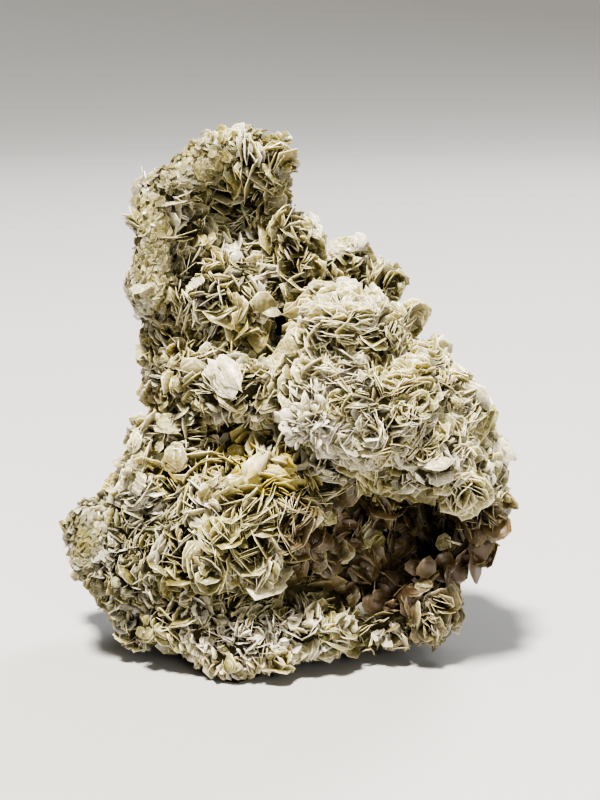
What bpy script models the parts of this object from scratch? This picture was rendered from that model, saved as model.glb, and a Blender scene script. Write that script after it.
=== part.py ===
"""Mica crystal: a hand-sized cluster of intergrown mica plates, grown as one piece.

The cluster is a lumpy body of rounded lobes with a few hollows, and six-sided plates stand out of it in
fans. Everything is fused into one closed solid, which rests on the broken face at its foot.

Metres, +Z up. The origin is the middle of the specimen's outline, on the plane it rests on. -Y is the
show side, with the deep hollow at its lower right and the tower at its left.
"""

import math
import random

import bmesh
import bpy
from mathutils import Matrix, Vector

MM = 0.001
SEED = 7

# Each lobe is (name, centre, half sizes) in millimetres, out to the tips of the plates on it.
TOWER_LOBES = (
    ("crown", (-5.0, 4.0, 100.0), (8.0, 9.0, 8.5)),
    ("crown_left", (-14.5, 4.0, 96.0), (9.5, 10.5, 9.5)),
    ("shoulder", (-22.5, 2.0, 87.5), (10.0, 11.5, 11.0)),
    ("tower_left", (-25.0, 2.0, 75.0), (7.5, 11.0, 11.0)),
    ("tower_back", (-12.5, 14.0, 82.5), (15.5, 10.0, 18.5)),
    ("tower_rim", (-1.0, 5.0, 91.0), (4.5, 8.0, 10.0)),
    ("tower_right", (2.5, 6.0, 80.5), (7.5, 9.0, 8.0)),
    ("tower_heel", (0.5, 7.0, 70.0), (8.5, 9.0, 8.5)),
    ("tower_belly", (-12.5, 4.0, 71.0), (14.0, 13.0, 11.0)),
    ("left_knob", (-24.0, 2.0, 64.0), (6.5, 8.5, 9.0)),
    ("hanging_knob", (-27.5, 3.0, 55.0), (5.5, 5.5, 5.5)),
    ("neck", (-12.5, 2.0, 54.5), (15.0, 15.0, 11.0)),
)
DOME_LOBES = (
    ("dome_top", (12.0, -6.0, 67.0), (13.0, 13.0, 10.5)),
    ("dome_left", (2.5, -8.0, 56.5), (8.0, 10.0, 8.5)),
    ("dome_front", (16.5, -14.0, 52.0), (14.5, 12.0, 12.5)),
    ("dome_right", (24.0, -4.0, 50.0), (14.5, 16.0, 12.5)),
    ("dome_lip", (27.0, -13.0, 42.0), (13.0, 10.0, 9.0)),
    ("flank_upper", (36.5, 2.0, 41.0), (8.8, 12.0, 9.5)),
    ("flank_lower", (38.0, 0.0, 31.5), (8.5, 12.0, 10.0)),
    ("rosette_ball", (4.5, -20.0, 52.5), (5.0, 5.5, 5.0)),
)
BODY_LOBES = (
    ("body", (0.5, 4.0, 30.5), (26.5, 20.0, 20.5)),
    ("body_front", (-6.5, -12.0, 29.0), (16.5, 12.0, 14.0)),
    ("body_left", (-17.0, -10.0, 22.5), (12.0, 12.0, 12.0)),
    ("left_upper", (-25.5, 0.0, 39.0), (10.0, 13.5, 11.5)),
    ("left_mid", (-31.5, 2.0, 23.5), (13.5, 16.0, 13.5)),
    ("left_far", (-38.5, 12.0, 20.0), (9.0, 12.0, 10.5)),
    ("left_low", (-29.0, -2.0, 14.0), (11.0, 13.0, 10.0)),
    ("right_wall", (36.5, 3.0, 23.5), (8.0, 11.0, 9.0)),
)
FOOT_LOBES = (
    ("foot_left", (-19.0, -8.0, 9.0), (9.0, 10.0, 9.0)),
    ("foot_front", (-9.5, -11.0, 5.0), (10.0, 10.5, 11.0)),
    ("foot_mid", (2.5, -9.0, 8.5), (11.0, 10.0, 8.5)),
    ("foot_right", (16.0, -1.5, 9.5), (12.0, 11.0, 10.5)),
    ("foot_corner", (27.0, -4.0, 11.5), (8.0, 11.0, 11.5)),
    ("foot_back", (-1.0, 14.0, 6.5), (28.0, 16.0, 16.0)),
)
BACK_LOBES = (
    ("back_upper", (-6.0, 18.0, 62.5), (16.5, 12.0, 16.5)),
    ("back_mid", (8.5, 18.0, 41.5), (23.5, 12.0, 19.0)),
    ("back_left", (-20.5, 20.0, 26.0), (17.0, 11.0, 15.0)),
    ("back_right", (27.0, 16.0, 27.5), (15.0, 12.0, 17.0)),
    ("rear_bump", (11.5, 21.5, 73.0), (10.5, 8.5, 9.5)),
    ("rear_tip", (19.5, 21.5, 72.0), (6.0, 7.5, 9.0)),
)
LOBES = TOWER_LOBES + DOME_LOBES + BODY_LOBES + FOOT_LOBES + BACK_LOBES
HOLLOWS = (
    ("cavity", (21.0, -16.0, 26.0), (9.5, 14.0, 8.5)),
    ("cavity_low", (15.0, -16.0, 16.0), (9.0, 11.0, 6.0)),
    ("tower_hollow", (-9.5, -4.0, 87.5), (8.0, 10.0, 9.5)),
    ("tower_gap", (-1.5, -5.0, 67.0), (4.5, 12.0, 5.5)),
    ("neck_crease", (-9.0, -14.0, 46.0), (11.5, 11.0, 3.6)),
    ("foot_crease", (0.0, -21.0, 20.0), (13.0, 11.0, 3.2)),
)
PLATE_REACH = 3.0 * MM  # how far the plates stand out of the body
VOXEL = 1.5 * MM
SMOOTHING_PASSES = 5
BODY_TRIANGLES = 1340
CRAGS = 0.9 * MM  # how far the body's corners are pushed in or out

FAN_SPACING = 9.7 * MM
TRIES_A_FAN = 30  # tries at a free place before the surface counts as full
PLATES_A_FAN = 2
FAN_ANGLE = math.radians(52)  # between one plate of a fan and the next
FAN_LEAN = 0.35  # how far a fan may lean from straight out, as a slope
PLATE_WIDTH = (7.0 * MM, 11.0 * MM)
PLATE_THICKNESS = (0.7 * MM, 1.1 * MM)
TIP_SHARE = (0.18, 0.34)  # where a plate's tip corners are, as a share of its width
ROOT_DEPTH = 2.4 * MM  # how deep in the body a plate starts


def ellipsoid(bm, centre, half_sizes, subdivisions=3):
    """Adds one closed ellipsoid, given in millimetres."""
    place = Matrix.Translation(Vector(centre) * MM)
    scale = Matrix.Diagonal((*(size * MM for size in half_sizes), 1.0))
    bmesh.ops.create_icosphere(bm, subdivisions=subdivisions, radius=1.0, matrix=place @ scale)


def object_from(bm, name):
    mesh = bpy.data.meshes.new(name)
    bm.to_mesh(mesh)
    bm.free()
    made = bpy.data.objects.new(name, mesh)
    bpy.context.scene.collection.objects.link(made)
    return made


def helper(obj):
    """Marks an object that only cuts or guides, so that it is no part of the specimen."""
    obj.hide_render = True
    obj.display_type = "WIRE"
    return obj


def applied(obj):
    """Replaces the object's mesh with the one that its modifiers make."""
    graph = bpy.context.evaluated_depsgraph_get()
    mesh = bpy.data.meshes.new_from_object(obj.evaluated_get(graph), depsgraph=graph)
    obj.modifiers.clear()
    obj.data = mesh
    return obj


def boolean(obj, other, operation, overlapping=False):
    cut = obj.modifiers.new(operation.lower(), "BOOLEAN")
    cut.object = other
    cut.operation = operation
    cut.solver = "EXACT"
    cut.use_self = overlapping
    return applied(obj)


def run_together(obj):
    """Gives overlapping closed shapes one even skin."""
    remesh = obj.modifiers.new("run_together", "REMESH")
    remesh.mode = "VOXEL"
    remesh.voxel_size = VOXEL
    return applied(obj)


def cluster_of(ellipsoids, name):
    """One closed body of ellipsoids run together."""
    bm = bmesh.new()
    for _, centre, half_sizes in ellipsoids:
        ellipsoid(bm, centre, half_sizes)
    return run_together(object_from(bm, name))


def lumpy_body():
    """The body that the plates stand on: the lobes run together, drawn in by the plates' reach."""
    body = cluster_of(LOBES, "mica_cluster")
    smooth = body.modifiers.new("soften_creases", "SMOOTH")
    smooth.iterations = SMOOTHING_PASSES
    draw_in = body.modifiers.new("draw_in", "DISPLACE")
    draw_in.strength = -PLATE_REACH
    draw_in.mid_level = 0.0
    run_together(body)
    boolean(body, helper(cluster_of(HOLLOWS, "hollow_cutter")), "DIFFERENCE")
    return run_together(body)


def spread_points(obj, spacing, dice):
    """(place, normal) pairs over the surface, no two closer than spacing."""
    mesh = obj.data
    mesh.calc_loop_triangles()
    triangles = list(mesh.loop_triangles)
    areas = [triangle.area for triangle in triangles]
    corners = [mesh.vertices[i] for t in triangles for i in t.vertices]
    tries = int(TRIES_A_FAN * sum(areas) / spacing**2)
    found, grid = [], {}
    for index in dice.choices(range(len(triangles)), areas, k=tries):
        a, b, c = corners[3 * index : 3 * index + 3]
        u, v = dice.random(), dice.random()
        if u + v > 1:
            u, v = 1 - u, 1 - v
        place = a.co + (b.co - a.co) * u + (c.co - a.co) * v
        cell = tuple(int(math.floor(x / spacing)) for x in place)
        near = (
            (cell[0] + i, cell[1] + j, cell[2] + k)
            for i in (-1, 0, 1)
            for j in (-1, 0, 1)
            for k in (-1, 0, 1)
        )
        if all((place - other).length > spacing for key in near for other in grid.get(key, ())):
            grid.setdefault(cell, []).append(place)
            found.append((place, (a.normal + b.normal + c.normal).normalized()))
    return found


def add_plate(bm, root, rise, spine, height, dice):
    """Adds the upper half of a six-sided plate, as one closed slab that rises from its root line."""
    thickness = rise.cross(spine).normalized() * dice.uniform(*PLATE_THICKNESS) / 2
    width = dice.uniform(*PLATE_WIDTH)
    outline = [
        (-width / 2, 0.0),
        (width / 2, dice.uniform(0.0, 0.2) * height),
        (width * dice.uniform(*TIP_SHARE), height * dice.uniform(0.85, 1.0)),
        (-width * dice.uniform(*TIP_SHARE), height),
    ]
    back, front = (
        [bm.verts.new(root + spine * along + rise * up + thickness * side) for along, up in outline]
        for side in (-1, 1)
    )
    bm.faces.new(front)
    bm.faces.new(reversed(back))
    for i in range(len(outline)):
        j = (i + 1) % len(outline)
        bm.faces.new((back[i], back[j], front[j], front[i]))


def random_direction(dice):
    return Vector((dice.gauss(0, 1), dice.gauss(0, 1), dice.gauss(0, 1))).normalized()


def add_fan(bm, place, outward, dice):
    """Adds plates that share a root line in the body and splay apart away from it."""
    growth = (outward + random_direction(dice) * FAN_LEAN).normalized()
    spine = growth.cross(random_direction(dice)).normalized()
    side = growth.cross(spine)
    for i in range(PLATES_A_FAN):
        turn = FAN_ANGLE * (i - (PLATES_A_FAN - 1) / 2) * dice.uniform(0.8, 1.2)
        rise = growth * math.cos(turn) + side * math.sin(turn)
        root = place - growth * ROOT_DEPTH + spine * dice.uniform(-1, 1) * MM
        height = (ROOT_DEPTH + PLATE_REACH * dice.uniform(0.85, 1.05)) / math.cos(turn)
        add_plate(bm, root, rise, spine, height, dice)


def fans_of_plates(body, dice):
    plates = bmesh.new()
    for place, outward in spread_points(body, FAN_SPACING, dice):
        add_fan(plates, place, outward, dice)
    return helper(object_from(plates, "plates"))


def crag(body, dice):
    """Leaves the body as a few flat faces at odd angles, like broken crystal."""
    decimate = body.modifiers.new("flat_faces", "DECIMATE")
    body.data.calc_loop_triangles()
    decimate.ratio = BODY_TRIANGLES / len(body.data.loop_triangles)
    decimate.use_collapse_triangulate = True
    applied(body)
    for vert in body.data.vertices:
        vert.co += vert.normal * dice.uniform(-CRAGS, CRAGS)
    return body


def keep_outer_shell(obj):
    """Removes closed pockets and crumbs that the plates leave, so that one outer surface stays."""
    bm = bmesh.new()
    bm.from_mesh(obj.data)
    unseen, shells = set(bm.verts), []
    while unseen:
        todo, shell = [unseen.pop()], []
        while todo:
            vert = todo.pop()
            shell.append(vert)
            for edge in vert.link_edges:
                other = edge.other_vert(vert)
                if other in unseen:
                    unseen.remove(other)
                    todo.append(other)
        shells.append(shell)
    shells.sort(key=len)
    bmesh.ops.delete(bm, geom=[v for shell in shells[:-1] for v in shell], context="VERTS")
    bm.to_mesh(obj.data)
    bm.free()
    return obj


def floor_cutter():
    """A block under the resting plane, which breaks the foot off flat."""
    side, depth = 200 * MM, 40 * MM
    bm = bmesh.new()
    low = Matrix.Translation((0, 0, -depth / 2)) @ Matrix.Diagonal((side, side, depth, 1))
    bmesh.ops.create_cube(bm, size=1.0, matrix=low)
    return helper(object_from(bm, "floor_cutter"))


def centre_over_origin(obj):
    """Moves the mesh so that the middle of its outline, seen from above, is the origin."""
    low = [min(vert.co[axis] for vert in obj.data.vertices) for axis in range(2)]
    high = [max(vert.co[axis] for vert in obj.data.vertices) for axis in range(2)]
    obj.data.transform(Matrix.Translation((-(low[0] + high[0]) / 2, -(low[1] + high[1]) / 2, 0)))


def mica_material():
    """Pale olive mica with a pearly shine."""
    material = bpy.data.materials.new("mica")
    material.use_nodes = True
    shader = material.node_tree.nodes["Principled BSDF"]
    shader.inputs["Base Color"].default_value = (0.47, 0.44, 0.29, 1)
    shader.inputs["Roughness"].default_value = 0.35
    shader.inputs["Metallic"].default_value = 0.0
    return material


def main():
    for obj in list(bpy.data.objects):
        bpy.data.objects.remove(obj)
    dice = random.Random(SEED)
    body = lumpy_body()
    plates = fans_of_plates(body, dice)
    crag(body, dice)
    boolean(body, plates, "UNION", overlapping=True)
    boolean(body, floor_cutter(), "DIFFERENCE")
    keep_outer_shell(body)
    centre_over_origin(body)
    body.data.materials.clear()
    body.data.materials.append(mica_material())


main()
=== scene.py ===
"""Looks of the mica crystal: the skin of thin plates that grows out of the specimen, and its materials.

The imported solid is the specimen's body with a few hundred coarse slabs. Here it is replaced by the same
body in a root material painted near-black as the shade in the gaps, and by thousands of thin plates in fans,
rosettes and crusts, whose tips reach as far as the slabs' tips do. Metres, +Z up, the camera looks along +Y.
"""

import math
from itertools import product

import bmesh
import bpy
import numpy as np
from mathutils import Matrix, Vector, noise
from mathutils.bvhtree import BVHTree


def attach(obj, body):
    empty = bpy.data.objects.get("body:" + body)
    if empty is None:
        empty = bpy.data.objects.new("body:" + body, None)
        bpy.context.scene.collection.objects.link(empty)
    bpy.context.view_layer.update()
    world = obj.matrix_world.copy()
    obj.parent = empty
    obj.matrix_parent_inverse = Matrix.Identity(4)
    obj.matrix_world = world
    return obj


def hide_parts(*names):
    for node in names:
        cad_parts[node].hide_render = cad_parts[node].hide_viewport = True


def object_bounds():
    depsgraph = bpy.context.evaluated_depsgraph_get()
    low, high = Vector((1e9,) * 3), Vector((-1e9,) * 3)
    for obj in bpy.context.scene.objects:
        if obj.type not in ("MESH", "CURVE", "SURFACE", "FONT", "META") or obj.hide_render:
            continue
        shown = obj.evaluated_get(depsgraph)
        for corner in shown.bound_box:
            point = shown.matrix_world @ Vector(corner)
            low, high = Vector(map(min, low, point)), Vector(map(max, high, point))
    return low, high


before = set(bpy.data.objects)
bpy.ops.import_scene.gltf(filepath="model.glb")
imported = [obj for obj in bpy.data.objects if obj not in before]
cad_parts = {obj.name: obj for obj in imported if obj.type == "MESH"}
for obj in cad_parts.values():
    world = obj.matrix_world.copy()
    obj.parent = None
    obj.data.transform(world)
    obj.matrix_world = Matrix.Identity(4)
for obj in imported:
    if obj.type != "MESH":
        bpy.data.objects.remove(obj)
CAD_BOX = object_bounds()
NODE = "mica_cluster"

MM = 0.001
SEED = 23
dice = np.random.default_rng(SEED)

# The camera stands where the photographer did.
PHOTO_WIDTH, PHOTO_HEIGHT = 600, 800
VIEW_TARGET = Vector((3.20, -2.59, 51.8)) * MM
VIEW_ELEVATION = math.radians(12)
VIEW_DISTANCE = 350 * MM
LENS, SENSOR = 80.8, 36.0
FOCAL = LENS / SENSOR * PHOTO_HEIGHT  # the lens in the photograph's pixels
RIGHT = np.array((1.0, 0.0, 0.0))
AHEAD = np.array((0, math.cos(VIEW_ELEVATION), -math.sin(VIEW_ELEVATION)))
UPWARD = np.array((0, math.sin(VIEW_ELEVATION), math.cos(VIEW_ELEVATION)))

BASE_VOXEL = 1.2 * MM
BASE_SMOOTHING = 24
FLAT_FOOT = 1.2 * MM  # what is lower than this belongs to the broken face that the specimen rests on


# -------------------------------- camera and places seen by it


def link(obj):
    bpy.context.scene.collection.objects.link(obj)
    return obj


def add_camera():
    camera = link(bpy.data.objects.new("camera", bpy.data.cameras.new("camera")))
    camera.location = VIEW_TARGET - Vector(AHEAD) * VIEW_DISTANCE
    camera.rotation_euler = (math.pi / 2 - VIEW_ELEVATION, 0, 0)
    camera.data.lens = LENS
    camera.data.sensor_width = SENSOR
    camera.data.sensor_fit = "AUTO"
    camera.data.clip_start = 0.01
    camera.data.clip_end = 20
    bpy.context.scene.camera = camera


def sight_line(pixel):
    """The camera's place and the direction in which it sees a pixel of the photograph."""
    rightward = (pixel[0] - PHOTO_WIDTH / 2) / FOCAL
    upward = (PHOTO_HEIGHT / 2 - pixel[1]) / FOCAL
    ahead = Vector(AHEAD)
    start = VIEW_TARGET - ahead * VIEW_DISTANCE
    return start, (ahead + Vector(RIGHT) * rightward + Vector(UPWARD) * upward).normalized()


# -------------------------------- the body under the plates


def evaluated_mesh(obj):
    graph = bpy.context.evaluated_depsgraph_get()
    return bpy.data.meshes.new_from_object(obj.evaluated_get(graph), depsgraph=graph)


def read(collection, name, kind=float, width=3):
    """A property of all of a mesh's elements, as rows of an array."""
    values = np.empty(len(collection) * width, kind)
    collection.foreach_get(name, values)
    return values.reshape(-1, width)


class Skin:
    """The smooth surface that the plates stand on, as arrays that are quick to sample."""

    def __init__(self, mesh):
        mesh.calc_loop_triangles()
        self.points = read(mesh.vertices, "co")
        self.triangles = read(mesh.loop_triangles, "vertices", np.int64)
        self.normals = read(mesh.vertices, "normal")
        corners = self.points[self.triangles]
        crossed = np.cross(corners[:, 1] - corners[:, 0], corners[:, 2] - corners[:, 0])
        self.areas = np.linalg.norm(crossed, axis=1) / 2
        self.tree = BVHTree.FromPolygons(self.points.tolist(), self.triangles.tolist())

    def scatter(self, count):
        """Random places on the surface and its normals there."""
        which = dice.choice(len(self.areas), count, p=self.areas / self.areas.sum())
        share = np.sort(dice.random((count, 2)), axis=1)
        weights = np.stack([share[:, 0], share[:, 1] - share[:, 0], 1 - share[:, 1]], axis=1)
        places = np.einsum("nk,nkc->nc", weights, self.points[self.triangles[which]])
        normals = np.einsum("nk,nkc->nc", weights, self.normals[self.triangles[which]])
        return places, unit(normals)

    def spread(self, spacing, tries=12):
        """Places over the whole surface, no two closer than spacing."""
        places, normals = self.scatter(int(tries * self.areas.sum() / spacing**2))
        grid, kept = {}, []
        cells = np.floor(places / spacing).astype(int)
        for index, (cell, place) in enumerate(zip(map(tuple, cells), places)):
            near = [
                other
                for i, j, k in product((-1, 0, 1), repeat=3)
                for other in grid.get((cell[0] + i, cell[1] + j, cell[2] + k), ())
            ]
            if not near or ((np.array(near) - place) ** 2).sum(axis=1).min() > spacing**2:
                grid.setdefault(cell, []).append(place)
                kept.append(index)
        return places[kept], normals[kept]

    def seen_at(self, pixel):
        """The place and normal of the surface that the camera sees at a pixel of the photograph."""
        start, ahead = sight_line(pixel)
        place, normal, _, _ = self.tree.ray_cast(start, ahead)
        if place is None:  # just outside the outline
            place, normal, _, _ = self.tree.find_nearest(start + ahead * VIEW_DISTANCE)
        return np.array(place), np.array(normal)


def unit(vectors):
    return vectors / np.linalg.norm(vectors, axis=-1, keepdims=True)


def largest_island(mesh):
    """Removes the crumbs that the even mesh makes of thin slabs' tips."""
    first, second = read(mesh.edges, "vertices", np.int64, 2).T
    label, before = np.arange(len(mesh.vertices)), None
    while before is None or (label != before).any():
        before = label.copy()
        lowest = np.minimum(label[first], label[second])
        np.minimum.at(label, first, lowest)
        np.minimum.at(label, second, lowest)
        label = label[label]
    crumbs = np.flatnonzero(label != np.bincount(label).argmax())
    work = bmesh.new()
    work.from_mesh(mesh)
    work.verts.ensure_lookup_table()
    bmesh.ops.delete(work, geom=[work.verts[i] for i in crumbs], context="VERTS")
    work.to_mesh(mesh)
    work.free()


def add_root():
    """The specimen's body without the slabs, seen only at the bottom of the gaps: painted dark as their
    shade.
    """
    root = link(bpy.data.objects.new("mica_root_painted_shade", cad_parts[NODE].data.copy()))
    remesh = root.modifiers.new("even", "REMESH")
    remesh.mode = "VOXEL"
    remesh.voxel_size = BASE_VOXEL
    smooth = root.modifiers.new("melt_slabs", "SMOOTH")
    smooth.iterations = BASE_SMOOTHING
    mesh = evaluated_mesh(root)
    root.modifiers.clear()
    root.data = mesh
    largest_island(mesh)
    for vert in mesh.vertices:
        if vert.co.z < FLAT_FOOT:
            vert.co.z = 0.0
    mesh.update()
    return root


# -------------------------------- regions

# Regions of each kind: ellipses in the photograph, as (column, row, half width, half height) in its pixels.
CRUSTS = {
    "tower's outer side": (144, 255, 27, 72),
    "tower's shoulder": (186, 166, 44, 24),
    "crown": (262, 128, 40, 13),
    "far left side": (80, 535, 26, 40),
}
OPEN = {
    "tower's hollow": (240, 205, 56, 64),
    "under the tower": (240, 290, 60, 56),
    "left of the dome": (270, 330, 36, 34),
    "tower's head": (270, 152, 28, 24),
    "body's front": (225, 525, 70, 70),
}
FOOT = {"foot": (250, 645, 60, 34)}
FINE = {"body's left": (128, 560, 58, 66)} | FOOT
HOLLOWS = {
    "tower's hollow": (208, 208, 20, 20),
    "hollow under the dome": (385, 530, 66, 40),
}
GAPS = {
    "gap beside the dome": (286, 329, 14, 16),
    "crease under the tower": (232, 432, 40, 9),
}
# Where the body is set back all round, and how far in mm; a minus raises it.
TRIMS = {
    "under the foot": ((250, 694, 60, 10), 3.0),
    "right of the dome's top": ((434, 326, 18, 20), 3.2),
    "rear bump's top": ((368, 254, 34, 16), 2.6),
    "rear bump's right": ((418, 284, 12, 22), 2.4),
    "beside the dome's top": ((424, 358, 14, 18), -3.0),
    "dome's right, top": ((456, 350, 22, 12), 2.6),
    "tower's head, right": ((308, 184, 14, 30), 2.4),
    "under the body's left": ((130, 640, 30, 22), 3.4),
    "lower right corner": ((480, 632, 16, 36), 3.4),
    "under the foot's right": ((372, 656, 22, 10), 2.4),
    "tower's left bulge": ((120, 244, 18, 26), 2.6),
    "left of the waist": ((134, 372, 14, 40), 1.6),
    "crown": ((246, 132, 30, 12), 1.6),
    "notch under the tower's knob": ((152, 410, 16, 12), 3.0),
}
MOUNDS = {
    "dome's upper left": (338, 322, 40, 26),
    "dome's left": (322, 366, 30, 18),
    "white ball": (312, 424, 26, 24),
    "dome's middle": (404, 398, 30, 26),
    "dome's right": (462, 400, 30, 24),
    "dome's lower right": (448, 462, 44, 24),
    "far right": (480, 500, 22, 18),
    "tower, right": (282, 236, 24, 22),
    "tower's lower knob": (142, 366, 14, 26),
    "under the tower": (228, 282, 34, 26),
    "tower's foot": (232, 380, 40, 26),
    "body's left top": (165, 480, 40, 30),
    "body's left end": (120, 560, 36, 40),
    "foot": (238, 640, 48, 28),
    "lower right lobe": (432, 612, 22, 32),
}
CREASES = {
    "down the dome": (378, 380, 12, 42),
    "round the white ball": (352, 430, 12, 20),
    "under the upper left mound": (352, 348, 26, 7),
    "over the foot": (290, 594, 76, 13),
    "right of the foot": (356, 610, 30, 14),
    "tower's waist, left": (180, 330, 26, 8),
    "tower's foot, left": (178, 396, 16, 16),
    "body's middle": (196, 560, 10, 34),
}
DOME = {
    "dome": (400, 385, 95, 88),
    "its upper left": (330, 330, 36, 36),
}
CAVITY = {
    "hollow under the dome": (392, 550, 90, 58),
    "hollow's left end": (320, 542, 40, 42),
    "hollow's right end": (484, 556, 48, 52),
}
YELLOWED = {
    "crease by the dome": (266, 470, 40, 26),
    "body's left top": (160, 475, 16, 12),
    "dome's right rim": (494, 412, 16, 16),
}
# Painted shade with warm light bounced from below: regions whose plates are browned under the overhangs.
PAINTED_WARM_SHADE = {
    "tower's lower knob": (148, 386, 16, 18),
    "body's left top": (190, 462, 16, 14),
    "under the hollow": (424, 604, 46, 56),
}
# Painted light, partly whitish plates: regions made lighter and more silver where light falls, and on the
# foot's front where light bounces up.
WHITE_AND_PAINTED_LIGHT = {
    "tower's side": (140, 290, 18, 24),
    "tower's middle": (195, 284, 11, 11),
    "dome's front": (330, 450, 60, 26),
    "dome's lower right": (462, 466, 46, 22),
    "body's left edge": (140, 480, 26, 22),
    "foot's front": (254, 650, 60, 32),
}


def pixels_of(places):
    """Where the camera sees each place, in the photograph's pixels."""
    offset = places - np.array(VIEW_TARGET)
    depth = offset @ AHEAD + VIEW_DISTANCE
    rightward, upward = offset[:, 0] / depth, (offset @ UPWARD) / depth
    return np.stack([PHOTO_WIDTH / 2 + FOCAL * rightward, PHOTO_HEIGHT / 2 - FOCAL * upward], axis=1)


REGION_EDGE, REGION_FADE = 1.25, 0.5  # where a region ends and the width of its soft edge, in its radii
SIDE_FADE = 2.5  # how fast the side seen gives way to the hidden one as the surface turns away


def hidden_share(normals):
    """1 where the surface is turned away from the camera, 0 where it is turned to it or sideways."""
    return np.clip(normals[:, 1] * SIDE_FADE, 0, 1)


def share_in(regions, places, normals, all_round=False):
    """How much of each place lies in the regions, 1 inside and 0 outside, on the side seen or all round."""
    pixels = pixels_of(places)
    share = np.zeros(len(places))
    for column, row, width, height in regions.values():
        away = np.hypot((pixels[:, 0] - column) / width, (pixels[:, 1] - row) / height)
        share = np.maximum(share, np.clip((REGION_EDGE - away) / REGION_FADE, 0, 1))
    return share if all_round else share * (1 - hidden_share(normals))


def shares(places, normals, *tables):
    """Each table's share_in at the places."""
    return [share_in(regions, places, normals) for regions in tables]


def rough_noise(places, size, seed):
    """Smooth noise between -1 and 1 at each place."""
    shift = Vector((seed, 2.7 * seed, 0))
    return np.array([noise.noise(Vector(place) / size + shift) for place in places])


# -------------------------------- plates

# up is the way the plate grows in its plane, hexagon is 1 for a sharp hexagon and 0 for a round plate,
# and the tint is the tone with its painted light and shade, the yellow stain, the painted warm shade and the
# silver with its painted sheen.
PLATE = np.dtype(
    [(name, float, 3) for name in ("centre", "up", "normal")]
    + [(name, float) for name in ("radius", "aspect", "thickness", "bend", "wave", "hexagon")]
    + [("tint", float, 4)]
)
GOLDEN_ANGLE = math.pi * (3 - math.sqrt(5))
TONE_SPREAD = 0.08  # how much the tone varies from cluster to cluster


def plates_from(
    base, up, facing, radius, reach, thickness, tone, aspect=(0.75, 1.15), hexagon=(0.5, 1.0), wave=0.06
):
    """Rows of plates that stand on base, grow up and reach so far from it."""
    rows = np.zeros(len(base), PLATE)
    rows["up"] = unit(up)
    rows["normal"] = unit(facing - rows["up"] * (facing * rows["up"]).sum(axis=1, keepdims=True))
    rows["radius"], rows["thickness"] = radius, thickness
    rows["bend"] = dice.normal(0, 0.03, len(base))
    rows["wave"] = wave * dice.uniform(0.4, 1.6, len(base))
    rows["aspect"] = dice.uniform(*aspect, len(base))
    rows["hexagon"] = dice.uniform(*hexagon, len(base))
    rows["centre"] = base + rows["up"] * (reach - radius)[:, None]
    rows["tint"][:, 0] = tone
    return rows


def mm_between(low, high, like):
    """A random length for each item of like."""
    return dice.uniform(low, high, len(like)) * MM


def across(normals):
    """Two directions along the surface, at right angles, turned at random."""
    first = unit(np.cross(normals, dice.normal(size=normals.shape)))
    return first, np.cross(normals, first)


def in_clusters(count, fewest, most):
    """For clusters of a random number of plates: each plate's cluster, its number in it and their number."""
    sizes = dice.integers(fewest, most + 1, count)
    owner = np.repeat(np.arange(count), sizes)
    index = np.concatenate([np.arange(size) for size in sizes]) if count else np.zeros(0, int)
    return owner, index, sizes[owner]


def leaned(normals, amount):
    return unit(normals + dice.normal(size=normals.shape) * amount)


def roses(places, normals, scale=1.0, petals=(8, 15)):
    """Round petals about a heart of crossing plates: steep in the middle and leaning out at the rim."""
    axis = leaned(normals, 0.25)
    first, second = across(axis)
    owner, index, number = in_clusters(len(places), *petals)
    out_share = np.sqrt((index + 0.5) / number)
    turn = index * GOLDEN_ANGLE + dice.normal(0, 0.5, len(owner))
    outward = first[owner] * np.cos(turn)[:, None] + second[owner] * np.sin(turn)[:, None]
    tilt = np.radians(5 + 56 * out_share**1.2 + dice.normal(0, 12, len(owner)))
    up = axis[owner] * np.cos(tilt)[:, None] + outward * np.sin(tilt)[:, None]
    size = dice.uniform(0.7, 1.15, len(places))[owner] * scale
    radius = size * (1.4 + 0.8 * out_share) * dice.uniform(0.7, 1.15, len(owner)) * MM
    reach = size * (3.2 - 0.4 * out_share) * dice.uniform(0.75, 1.12, len(owner)) * MM
    base = places[owner] + outward * (out_share * size * 1.7 * MM)[:, None]
    base += dice.normal(0, 0.3 * MM, base.shape)
    twist = dice.normal(0, 1, len(owner)) * (1.5 - 1.2 * out_share)
    facing = outward - np.cross(up, outward) * twist[:, None]
    thickness = mm_between(0.05, 0.12, owner)
    tone = dice.normal(0, TONE_SPREAD, len(places))[owner]
    rows = plates_from(base, up, facing, radius, reach, thickness, tone, (0.85, 1.35), (0.2, 0.9), 0.08)
    rows["bend"] = -dice.uniform(0, 0.2, len(owner))
    return rows, owner


def sheaves(places, normals):
    """Plates that splay from one another like the leaves of an open book."""
    axis = leaned(normals, 0.25)
    stack, along = across(axis)
    owner, index, number = in_clusters(len(places), 4, 9)
    step = dice.uniform(0.25, 0.6, len(places))[owner] * MM
    offset = index - (number - 1) / 2 + dice.normal(0, 0.4, len(owner))
    splay = np.radians(dice.uniform(3, 12, len(places)))[owner] * offset
    up = axis[owner] * np.cos(splay)[:, None] + stack[owner] * np.sin(splay)[:, None]
    up = leaned(up, 0.09)
    size = dice.uniform(0.75, 1.1, len(places))[owner]
    radius = size * dice.uniform(1.3, 2.7, len(owner)) * MM
    reach = size * dice.uniform(2.2, 3.6, len(owner)) * MM
    slide = dice.normal(0, 0.9, len(owner)) * MM
    base = places[owner] + stack[owner] * (offset * step)[:, None] + along[owner] * slide[:, None]
    facing = stack[owner] + dice.normal(size=(len(owner), 3)) * 0.2
    thickness = mm_between(0.06, 0.14, owner)
    tone = dice.normal(0, TONE_SPREAD, len(places))[owner]
    return plates_from(base, up, facing, radius, reach, thickness, tone, (0.9, 1.7)), owner


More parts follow.
